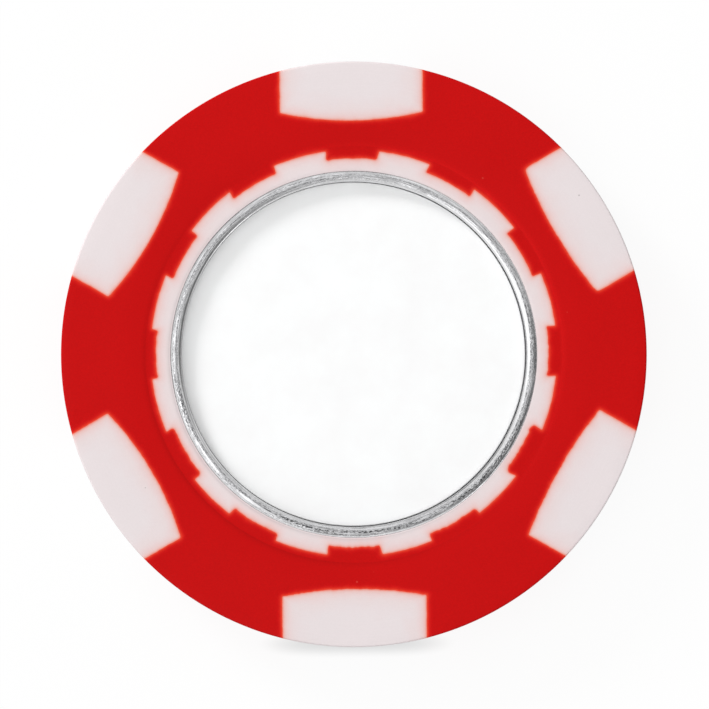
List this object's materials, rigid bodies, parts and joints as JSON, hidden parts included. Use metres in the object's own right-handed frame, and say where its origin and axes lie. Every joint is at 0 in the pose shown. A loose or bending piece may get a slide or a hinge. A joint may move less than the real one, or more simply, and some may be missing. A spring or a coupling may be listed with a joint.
{
  "type": "poker chip with ball marker",
  "caption": "Round two-colour moulded game chip with contrasting edge spots and a magnetic pocket that holds a lift-out metal-rimmed ball marker with a blank face.",
  "frame": {"origin": "middle of the back face, where the chip lies on the table", "axes": "+Z along the chip's axis, out of the front face that carries the marker; +Y through the middle of one edge spot, up in the picture; +X to the right in the picture"},
  "size_m": [0.04, 0.04, 0.004],
  "materials": {
    "red_plastic": "satin",
    "white_plastic": "satin",
    "weight_steel": "matte",
    "magnet_nickel": "polished",
    "marker_nickel": "polished",
    "face_white": "satin"
  },
  "bodies": {
    "chip": {"red_body": "red_plastic", "white_core": "white_plastic", "weight_ring": "weight_steel", "magnet": "magnet_nickel"},
    "marker": {"marker_cup": "marker_nickel", "marker_face": "face_white"}
  },
  "joints": [
    {"name": "marker_lift", "type": "slide", "parent": "chip", "child": "marker", "axis": [0, 0, 1], "range_m": [0, 0.015]}
  ]
}
